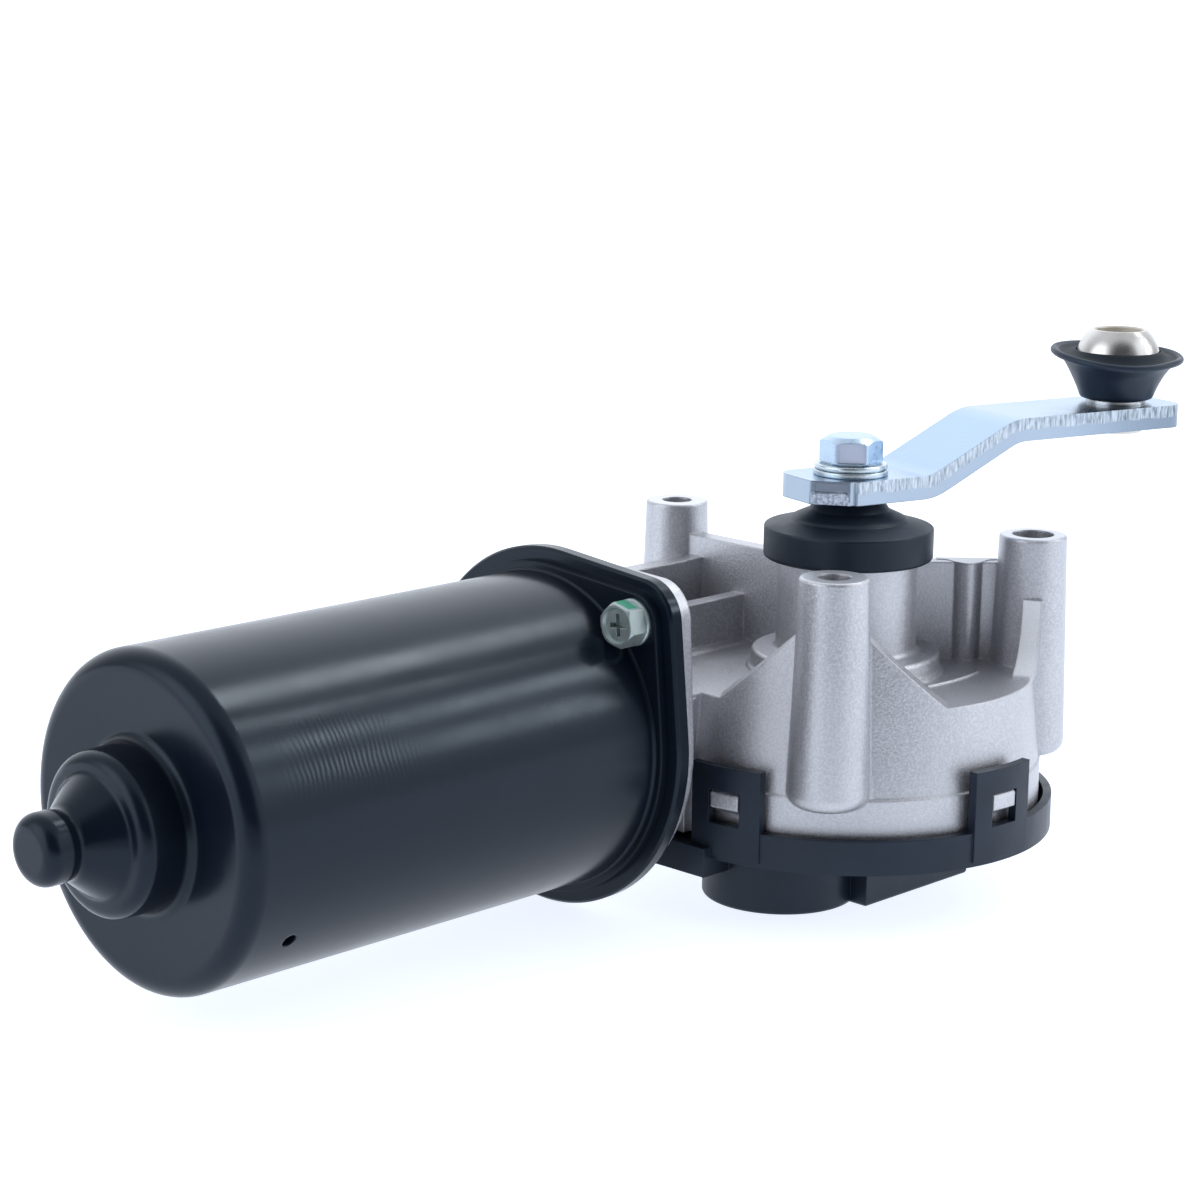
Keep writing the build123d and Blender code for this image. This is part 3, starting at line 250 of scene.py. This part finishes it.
def zinc_arm():
    m = Mat("arm_zinc")
    x, y, z = m.xyz()
    nx, ny, nz = m.normal()
    a = math.radians(-15)
    along = m.math("ADD", m.math("MULTIPLY", x, math.cos(a)), m.math("MULTIPLY", y, math.sin(a)))
    n_along = m.math("ADD", m.math("MULTIPLY", nx, math.cos(a)), m.math("MULTIPLY", ny, math.sin(a)))
    # height within the sheet: 0 at its underside, 1 at its top
    under = m.span(along, 0.0145, 0.0365, AZ + 0.0455, AZ + 0.0560, smooth=False)
    t = m.math("DIVIDE", m.math("SUBTRACT", z, under), 0.005)
    edge = m.span(m.math("ABSOLUTE", nz), 0.55, 0.35)
    sheared = m.math("MULTIPLY", edge, m.span(along, -0.0058, -0.0048))
    wavy = m.math("ADD", t, m.math("MULTIPLY", m.math("SUBTRACT", m.noise(260, 2, 0.5), 0.5), 0.35))
    torn = m.math("MULTIPLY", sheared, m.span(wavy, 0.46, 0.54))
    # the slanting facet near the bolt: its lower part was broken off
    facet = m.math("MULTIPLY", edge, m.math("MULTIPLY", m.span(n_along, -0.62, -0.66), m.span(n_along, -0.80, -0.76)))
    broken = m.math("MULTIPLY", facet, m.span(wavy, 0.50, 0.44))
    smooth_half = m.math("MULTIPLY", facet, m.span(wavy, 0.50, 0.56))
    stroke = m.noise(1.0, 3, 0.6, coords=m.scaled(1900, 1900, 320))
    crumb = m.noise(1500, 3, 0.65)
    blot = m.noise(60, 4, 0.6)
    fine = m.noise(1800, 3, 0.6)
    base = m.ramp(blot, (0.25, (0.35, 0.455, 0.585)), (0.75, (0.385, 0.495, 0.63)))
    far = m.span(along, 0.045, 0.080)
    base = m.mix(edge, base, m.mix(far, (0.36, 0.425, 0.50), (0.22, 0.27, 0.33)))
    base = m.mix(torn, base, m.mix(far, m.ramp(stroke, (0.34, (0.24, 0.285, 0.33)), (0.62, (0.58, 0.64, 0.70))), m.ramp(stroke, (0.34, (0.15, 0.18, 0.21)), (0.62, (0.50, 0.56, 0.62)))))
    base = m.mix(broken, base, m.ramp(crumb, (0.38, (0.30, 0.35, 0.42)), (0.60, (0.72, 0.78, 0.88))))
    base = m.mix(smooth_half, base, (0.22, 0.25, 0.30))
    rough = m.math("ADD", m.span(blot, 0.3, 0.7, 0.24, 0.31), m.math("MULTIPLY", m.math("MAXIMUM", torn, broken), 0.14))
    m.set(color=base, metallic=1.0, rough=rough)
    m.bump([(fine, 0.000004), (m.math("MULTIPLY", stroke, torn), 0.00007), (m.math("MULTIPLY", crumb, broken), 0.00016), (m.noise(300, 2, 0.5), 0.000025)], 0.0003)
    return m.m


def zinc_part(name, paint_mark=False, tint=(0.60, 0.67, 0.70), flat=None, r=(0.22, 0.36)):
    m = Mat(name)
    blot = m.noise(300, 3, 0.6)
    dark = tuple(0.82 * c for c in tint)
    base = m.ramp(blot, (0.3, dark), (0.7, tint))
    fine = m.noise(2500, 3, 0.6)
    rough = m.span(blot, 0.25, 0.75, *r)
    metallic = 1.0
    if flat is not None:
        # pressed recess on one flat of the bolt's head: duller floor; its walls are painted dark, painted shade inside
        # the recess
        x, y, z = m.xyz()
        nx, ny, nz = m.normal()
        ca, sa = math.cos(flat), math.sin(flat)
        out = m.math("ADD", m.math("MULTIPLY", x, ca), m.math("MULTIPLY", y, sa))
        tan = m.math("ABSOLUTE", m.math("SUBTRACT", m.math("MULTIPLY", y, ca), m.math("MULTIPLY", x, sa)))
        facing = m.math("ADD", m.math("MULTIPLY", nx, ca), m.math("MULTIPLY", ny, sa))
        inside = m.math("MULTIPLY", m.span(tan, 0.00290, 0.00286), m.math("MULTIPLY", m.span(out, 0.00588, 0.00584), m.span(out, 0.0052, 0.0053)))
        inside = m.math("MULTIPLY", inside, m.math("MULTIPLY", m.span(z, AZ + 0.0532, AZ + 0.0534), m.span(z, AZ + 0.0579, AZ + 0.0577)))
        recess_wall_shade = m.math("MULTIPLY", inside, m.span(facing, 0.6, 0.3))
        base = m.mix(inside, base, (0.58, 0.62, 0.74))
        base = m.mix(recess_wall_shade, base, (0.14, 0.15, 0.20))
        rough = m.math("ADD", rough, m.math("MULTIPLY", inside, 0.12))
    if paint_mark:
        x, y, z = m.xyz()
        # a dab of green inspection paint on top of the near screw's head, behind its round end
        ragged = m.math("MULTIPLY", m.math("SUBTRACT", m.noise(900, 3, 0.6), 0.5), 0.0010)
        mark = m.span(m.math("ADD", z, ragged), AZ + 0.0299, AZ + 0.0302)
        mark = m.math("MULTIPLY", mark, m.span(m.math("ADD", y, ragged), YC - 0.0293, YC - 0.0290))
        mark = m.math("MULTIPLY", mark, m.span(m.math("SUBTRACT", y, ragged), YC - 0.0246, YC - 0.0250))
        mark = m.math("MULTIPLY", mark, m.span(y, YC + 0.003, YC - 0.003))
        mark = m.math("MULTIPLY", mark, m.span(m.math("ADD", x, ragged), -0.0648, -0.0645))
        mark = m.math("MULTIPLY", mark, m.span(m.math("ADD", x, ragged), -0.0618, -0.0622))
        base = m.mix(mark, base, (0.02, 0.27, 0.16))
        metallic = m.math("MULTIPLY", m.math("SUBTRACT", 1.0, mark), 0.72)
    m.set(color=base, metallic=metallic, rough=rough)
    m.bump([(fine, 0.00001), (m.noise(500, 2, 0.5), 0.000012)], 0.00012 if flat is not None else 0.00022)
    return m.m


def steel(name, tint=(0.60, 0.60, 0.60), r=(0.16, 0.28), scale=(2200, 2200, 120)):
    m = Mat(name)
    line = m.noise(1.0, 2, 0.5, coords=m.scaled(*scale))
    dark = tuple(0.85 * c for c in tint)
    m.set(color=m.ramp(m.noise(200, 3, 0.6), (0.3, dark), (0.7, tint)), metallic=1.0, rough=m.span(line, 0.3, 0.7, *r))
    m.bump([(line, 0.000006)], 0.0002)
    return m.m


def nickel():
    m = Mat("ball_nickel")
    x, y, z = m.xyz()
    blot = m.noise(160, 3, 0.6)
    # the drawn recess in the top is dull and a little warmer than the polished outside
    bx, by = 0.0716 * math.cos(math.radians(-15)), 0.0716 * math.sin(math.radians(-15))
    r = m.math("SQRT", m.math("ADD", m.math("POWER", m.math("SUBTRACT", x, bx), 2.0), m.math("POWER", m.math("SUBTRACT", y, by), 2.0)))
    dull = m.math("MULTIPLY", m.span(r, 0.00556, 0.00548), m.span(z, AZ + 0.066, AZ + 0.068))
    base = m.ramp(blot, (0.3, (0.52, 0.50, 0.47)), (0.7, (0.62, 0.60, 0.57)))
    base = m.mix(dull, base, (0.62, 0.58, 0.50))
    m.set(color=base, metallic=m.math("SUBTRACT", 1.0, m.math("MULTIPLY", dull, 0.65)),
          rough=m.math("ADD", m.span(m.noise(420, 3, 0.6), 0.3, 0.7, 0.22, 0.29), m.math("MULTIPLY", dull, 0.22)))
    m.bump([(m.noise(1500, 2, 0.5), 0.000004)], 0.0002)
    return m.m


def rubber(name, base=(0.0060, 0.0090, 0.0165), r=(0.40, 0.52), grain=1300):
    m = Mat(name)
    f = m.noise(grain, 3, 0.6)
    dust = m.span(m.noise(110, 4, 0.65), 0.55, 0.80)
    hi = tuple(c * 1.35 + 0.001 for c in base)
    m.set(color=m.mix(dust, base, hi), rough=m.span(m.noise(90, 3, 0.6), 0.3, 0.7, *r), spec=0.35)
    m.b.inputs["Specular Tint"].default_value = (0.74, 0.88, 1.0, 1)
    m.bump([(f, 0.000008), (m.noise(150, 2, 0.5), 0.00004)], 0.0003)
    return m.m


def plastic(name, base=(0.0060, 0.0092, 0.0175), r=(0.36, 0.46), grain=2600, depth=0.000006, edge=0.0003):
    m = Mat(name)
    f = m.noise(grain, 2, 0.5)
    hi = tuple(c * 1.35 for c in base)
    m.set(color=m.mix(m.span(m.noise(70, 3, 0.6), 0.35, 0.7), base, hi), rough=m.span(m.noise(120, 3, 0.6), 0.3, 0.7, *r), spec=0.4)
    m.b.inputs["Specular Tint"].default_value = (0.74, 0.88, 1.0, 1)
    m.bump([(f, depth), (m.noise(60, 2, 0.5), 0.00004)], edge)
    return m.m


def metal(name, tint, r=(0.3, 0.45), grain=900):
    m = Mat(name)
    dark = tuple(0.78 * c for c in tint)
    m.set(color=m.ramp(m.noise(150, 3, 0.6), (0.3, dark), (0.7, tint)), metallic=1.0, rough=m.span(m.noise(grain, 3, 0.6), 0.3, 0.7, *r))
    m.bump([(m.noise(grain, 3, 0.6), 0.00002)], 0.0002)
    return m.m


def boot_rubber():
    m = Mat("boot_rubber")
    x, y, z = m.xyz()
    bx, by = 0.0716 * math.cos(math.radians(-15)), 0.0716 * math.sin(math.radians(-15))
    r = m.math("SQRT", m.math("ADD", m.math("POWER", m.math("SUBTRACT", x, bx), 2.0), m.math("POWER", m.math("SUBTRACT", y, by), 2.0)))
    # the outer bead is painted lighter, a painted highlight along it; the inside of the lip above it is painted darker
    # and duller, painted shade where it meets the ball
    bead_highlight = m.span(r, 0.0126, 0.0133)
    lip_inside_shade = m.math("MULTIPLY", m.math("SUBTRACT", 1.0, bead_highlight), m.span(z, AZ + 0.0702, AZ + 0.0708))
    cloud = m.noise(110, 4, 0.65)
    base = m.ramp(cloud, (0.35, (0.0095, 0.0145, 0.0262)), (0.75, (0.0125, 0.0180, 0.0310)))
    base = m.mix(bead_highlight, base, (0.0170, 0.0235, 0.0390))
    base = m.mix(lip_inside_shade, base, (0.0045, 0.0068, 0.0125))
    m.set(color=base, rough=m.math("ADD", m.span(m.noise(90, 3, 0.6), 0.3, 0.7, 0.36, 0.46), m.math("MULTIPLY", lip_inside_shade, 0.2)), spec=0.35)
    m.b.inputs["Specular Tint"].default_value = (0.74, 0.88, 1.0, 1)
    m.bump([(m.noise(1800, 3, 0.6), 0.000008), (m.noise(150, 2, 0.5), 0.00003)])
    return m.m


M = {
    "can_black_paint": black_paint("can_black_paint", True),
    "cast_alloy": cast_alloy(),
    "plate_black": black_paint("plate_black"),
    "cover_black": plastic("cover_black"),
    "cap_rubber": rubber("cap_rubber"),
    "boot_rubber": boot_rubber(),
    "seal_rubber": rubber("seal_rubber"),
    "arm_zinc": zinc_arm(),
    "fastener_zinc": zinc_part("fastener_zinc"),
    "ball_nickel": nickel(),
    "bright_steel": steel("bright_steel"),
    "spring_steel": steel("spring_steel", (0.42, 0.42, 0.43)),
    "lamination": metal("lamination", (0.30, 0.30, 0.31)),
    "ferrite": plastic("ferrite", (0.035, 0.035, 0.038), (0.5, 0.65), 1500, 0.00004),
    "bronze": metal("bronze", (0.50, 0.36, 0.19)),
    "copper": metal("copper", (0.75, 0.38, 0.22), (0.2, 0.32)),
    "enamelled_copper": metal("enamelled_copper", (0.52, 0.19, 0.07), (0.2, 0.35)),
    "contact_brass": metal("contact_brass", (0.74, 0.58, 0.29), (0.22, 0.35)),
    "graphite": plastic("graphite", (0.03, 0.03, 0.03), (0.5, 0.6), 2500, 0.00003),
    "white_acetal": plastic("white_acetal", (0.62, 0.60, 0.54), (0.35, 0.45)),
    "board_green": plastic("board_green", (0.02, 0.09, 0.035), (0.35, 0.5)),
    "phenolic": plastic("phenolic", (0.09, 0.035, 0.02), (0.3, 0.45)),
    "felt": rubber("felt", (0.30, 0.25, 0.16), (0.85, 0.95), 1500),
}
screw_mat = zinc_part("can_screw_zinc", True, (0.40, 0.47, 0.46), r=(0.33, 0.45))
bolt_mat = zinc_part("crank_bolt_zinc", False, (0.48, 0.60, 0.73), flat=math.radians(220))
special = {"can_screws": screw_mat, "crank_bolt": bolt_mat}

for sp in frame["record"]["subparts"]:
    o = nodes[sp["node"]]
    mat = special.get(sp["node"]) or M[sp["material_slot"]]
    if not o.material_slots:
        o.data.materials.append(mat)
    for s in o.material_slots:
        s.material = mat

# ---------------------------------------------------------------- mesh helpers


def new_object(name, verts, faces, mat, body, node=None, sub=0, smooth=True):
    me = bpy.data.meshes.new(name)
    me.from_pydata(verts, [], faces)
    me.validate()
    o = bpy.data.objects.new(name, me)
    scene.collection.objects.link(o)
    bm = bmesh.new()
    bm.from_mesh(me)
    bmesh.ops.recalc_face_normals(bm, faces=bm.faces)
    bm.to_mesh(me)
    bm.free()
    me.materials.append(mat)
    for p in me.polygons:
        p.use_smooth = smooth
    if sub:
        s = o.modifiers.new("sub", "SUBSURF")
        s.levels = s.render_levels = sub
    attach(o, body)
    if node:
        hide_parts(node)
    return o


def lathe(profile, n, centre, shape=None):
    """Closed ring surface from (r, z) points about a vertical axis; shape(r, z, angle) may move each point."""
    verts, faces = [], []
    k = len(profile)
    for i in range(n):
        a = 2 * math.pi * i / n
        for r, z in profile:
            rr, zz = shape(r, z, a) if shape else (r, z)
            verts.append((centre[0] + rr * math.cos(a), centre[1] + rr * math.sin(a), centre[2] + zz))
    for i in range(n):
        j = (i + 1) % n
        for p in range(k):
            q = (p + 1) % k
            faces.append((i * k + p, i * k + q, j * k + q, j * k + p))
    return verts, faces


# ---------------------------------------------------------------- boot round the ball
ARM = math.radians(-15)
BX, BY = 0.0716 * math.cos(ARM), 0.0716 * math.sin(ARM)


def boot_shape(r, z, a):
    # the soft lip is higher at its left and right points and droops towards the motor; its inner edge stays snug on the ball
    t = max(0.0, min(1.0, z / 0.0095))
    u = max(0.0, min(1.0, (r - 0.0096) / 0.0030))
    t = t * t * (3 - 2 * t) * u * u * (3 - 2 * u)
    b = math.atan2(math.sin(a + math.radians(45.7)), math.cos(a + math.radians(45.7)))
    pinch = math.exp(-((b + 0.75) / 0.50) ** 2)
    point = math.exp(-(b / 0.45) ** 2)
    flat = 0.5 - 0.5 * math.cos(2 * b)
    rr = r * (1 - t * (0.025 * flat + 0.03 * pinch + 0.025 * point))
    zz = z + t * (0.0009 * math.sin(b) - 0.00065 * math.cos(b) + 0.000075 + 0.000275 * math.cos(2 * b) + 0.0003 * pinch)
    return rr, zz


H2 = AZ + 0.061
boot_profile = [(0.0076, 0.0010), (0.0081, 0.0013), (0.0085, 0.0026), (0.0094, 0.0046), (0.0105, 0.0066), (0.0119, 0.0084), (0.0129, 0.0093),
                (0.0135, 0.0098), (0.0138, 0.0095), (0.0144, 0.0095), (0.0149, 0.0100), (0.0149, 0.0106), (0.0144, 0.0111), (0.0138, 0.0110),
                (0.0132, 0.0105), (0.0122, 0.0104), (0.0109, 0.0107), (0.0100, 0.0113), (0.0095, 0.0117), (0.00925, 0.0116), (0.0094, 0.0108),
                (0.0096, 0.0095), (0.0095, 0.0078), (0.0091, 0.0060), (0.0082, 0.0042), (0.0074, 0.0029), (0.0066, 0.0017), (0.0064, 0.0010)]
v, f = lathe(boot_profile, 72, (BX, BY, H2), boot_shape)
boot = new_object("boot", v, f, M["boot_rubber"], "output", "ball_boot", 2)

# ---------------------------------------------------------------- stage
lo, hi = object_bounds()
me = bpy.data.meshes.new("floor")
z0 = lo[2] - 0.0004
R = 30.0
me.from_pydata([(R * math.cos(math.radians(a)), R * math.sin(math.radians(a)), z0) for a in range(0, 360, 6)], [], [tuple(range(60))])
floor = bpy.data.objects.new("floor", me)
scene.collection.objects.link(floor)
fm = Mat("floor_pale")
fm.set(color=fm.ramp(fm.noise(8, 2, 0.5), (0.3, (0.42, 0.45, 0.49)), (0.7, (0.45, 0.48, 0.52))), rough=0.6, spec=0.1)
fm.b.inputs["Emission Color"].default_value = (0.90, 0.95, 1.05, 1)
fx, fy, fz = fm.xyz()
# the pale sheet's own light falls off well in front of the object
reach = fm.math("SQRT", fm.math("ADD", fm.math("POWER", fm.math("ADD", fx, 0.60), 2.0), fm.math("POWER", fm.math("ADD", fy, 0.55), 2.0)))
fm.link(fm.span(reach, 0.40, 0.58, 0.14, 0.91), fm.b.inputs["Emission Strength"])
me.materials.append(fm.m)

# studio: dim towards the horizon, brighter overhead, with broad soft lobes of light
world = bpy.data.worlds.new("studio")
scene.world = world
world.use_nodes = True
wt = world.node_tree
bg = wt.nodes["Background"]


def wnode(kind, **kw):
    n = wt.nodes.new(kind)
    for k, v in kw.items():
        setattr(n, k, v)
    return n


def lobe(direction, lo, hi, a, b):
    """Smooth step of the angle from a direction: value a outside lo, b inside hi (both cosines)."""
    d = wnode("ShaderNodeVectorMath", operation="DOT_PRODUCT")
    d.inputs[1].default_value = Vector(direction).normalized()
    wt.links.new(tc.outputs["Generated"], d.inputs[0])
    n = wnode("ShaderNodeMapRange", interpolation_type="SMOOTHSTEP")
    for k, v in (("From Min", lo), ("From Max", hi), ("To Min", a), ("To Max", b)):
        n.inputs[k].default_value = v
    wt.links.new(d.outputs["Value"], n.inputs["Value"])
    return n.outputs["Result"]


def join(op, a, b):
    n = wnode("ShaderNodeMath", operation=op)
    wt.links.new(a, n.inputs[0])
    wt.links.new(b, n.inputs[1])
    return n.outputs[0]


tc = wnode("ShaderNodeTexCoord")
sep = wnode("ShaderNodeSeparateXYZ")
wt.links.new(tc.outputs["Generated"], sep.inputs[0])
wr = wnode("ShaderNodeValToRGB")
wr.color_ramp.interpolation = "EASE"
for e, (pos, c) in zip([wr.color_ramp.elements[0], wr.color_ramp.elements[1]], ((0.0, 0.34), (0.30, 0.60))):
    e.position = pos
    e.color = (c, c, c, 1)
e = wr.color_ramp.elements.new(0.75)
e.color = (0.90, 0.90, 0.90, 1)
wt.links.new(sep.outputs[2], wr.inputs["Fac"])
total = wr.outputs["Color"]
# the side behind the object is brightly lit, and so are the right and, less, the left
total = join("ADD", total, lobe((0.66, 0.75, 0.0), 0.25, 0.95, 0.0, 0.95))
total = join("ADD", total, lobe((0.53, -0.85, 0.35), 0.78, 0.96, 0.0, 0.80))
total = join("ADD", total, lobe((-0.93, 0.30, 0.24), 0.78, 0.97, 0.0, 1.75))
total = join("MULTIPLY", total, lobe((-0.66, -0.69, 0.34), 0.62, 0.90, 1.0, 0.12))
wt.links.new(total, bg.inputs["Strength"])
bg.inputs["Color"].default_value = (0.93, 0.98, 1.06, 1)


def softbox(name, end_a, end_b, width, glow, target=(-0.11, 0.01, -0.02), dist=3.0):
    """Long soft box far from the object: its two ends as (azimuth, elevation) in degrees, its width in radians, its brightness."""
    def unit(end):
        az, el = (math.radians(v) for v in end)
        return Vector((math.cos(el) * math.cos(az), math.cos(el) * math.sin(az), math.sin(el)))
    u, v = unit(end_a), unit(end_b)
    z = (u + v).normalized()
    along = (v - u).length
    x = ((v - u) - (v - u).dot(z) * z).normalized()
    y = z.cross(x)
    l = bpy.data.lights.new(name, "AREA")
    l.shape = "RECTANGLE"
    l.size, l.size_y = along * dist, width * dist
    l.energy = glow * along * width * dist * dist
    l.color = (0.97, 0.99, 1.0)
    o = bpy.data.objects.new(name, l)
    scene.collection.objects.link(o)
    p = Vector(target) + z * dist
    o.matrix_world = Matrix(((x.x, y.x, z.x, p.x), (x.y, y.y, z.y, p.y), (x.z, y.z, z.z, p.z), (0, 0, 0, 1)))
    return o


softbox("box_top", (2.0, 59.0), (0.0, 46.5), 0.18, 27.0)
softbox("box_thin", (-27.5, 52.0), (-25.5, 43.0), 0.07, 30.0)
softbox("box_middle", (-30.0, 33.5), (-42.5, 35.0), 0.10, 27.0)
softbox("box_low", (-34.0, 18.5), (-47.0, 20.0), 0.15, 19.0)

cam = bpy.data.cameras.new("photo")
cam.lens = 90.0
cam.sensor_width = 36.0
cam.clip_start = 0.01
cam.clip_end = 20
co = bpy.data.objects.new("photo", cam)
scene.collection.objects.link(co)
right = Vector((0.69877, -0.71523, 0.0128))
down = Vector((-0.14626, -0.16036, -0.97616))
fwd = Vector((0.70024, 0.68024, -0.21666))
co.matrix_world = Matrix((
    (right.x, -down.x, -fwd.x, -0.484335),
    (right.y, -down.y, -fwd.y, -0.397262),
    (right.z, -down.z, -fwd.z, 0.124389),
    (0, 0, 0, 1)))
scene.camera = co

scene.view_settings.view_transform = "Standard"
scene.view_settings.exposure = 0.0
